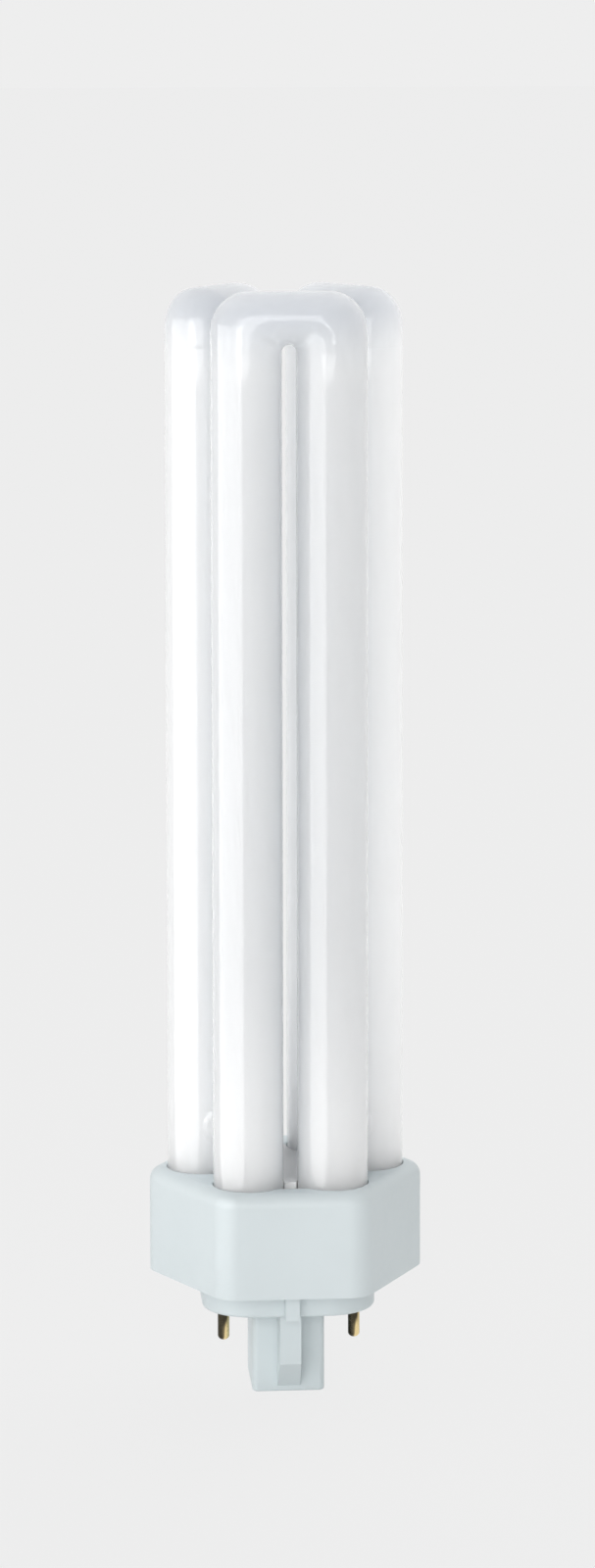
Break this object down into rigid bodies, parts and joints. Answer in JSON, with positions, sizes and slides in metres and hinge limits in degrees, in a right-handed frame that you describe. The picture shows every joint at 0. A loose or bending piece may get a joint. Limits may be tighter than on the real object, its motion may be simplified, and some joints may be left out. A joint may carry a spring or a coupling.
{
  "type": "u shaped fluorescent bulb",
  "caption": "Plug-in fluorescent bulb: white U tubes in a ring, bridged near a six-sided holder, over a square foot with brass contact pins and a ribbed locking post.",
  "frame": {"origin": "on the lamp's axis at the foot's lower face, the plane that seats on the socket", "axes": "+Z along the lamp's axis to the tube tops, -Y to the side with the key, +X to its right"},
  "size_m": [0.0468, 0.0418, 0.19],
  "materials": {
    "tube_glass": "smooth clear glass over an opaque white inner coating",
    "holder_plastic": "moulded, fine satin",
    "cap_plastic": "moulded, fine satin",
    "pin_brass": "turned and polished",
    "wire_metal": "drawn wire",
    "cement": "matt, cast in place"
  },
  "bodies": {
    "root": {"discharge_tube": "tube_glass", "tube_holder": "holder_plastic", "plug_cap": "cap_plastic", "fixing_cement": "cement", "contact_pin_front_left": "pin_brass", "contact_pin_front_right": "pin_brass", "contact_pin_rear_left": "pin_brass", "contact_pin_rear_right": "pin_brass", "lead_wire_front_left": "wire_metal", "lead_wire_front_right": "wire_metal", "lead_wire_rear_left": "wire_metal", "lead_wire_rear_right": "wire_metal"}
  },
  "joints": []
}
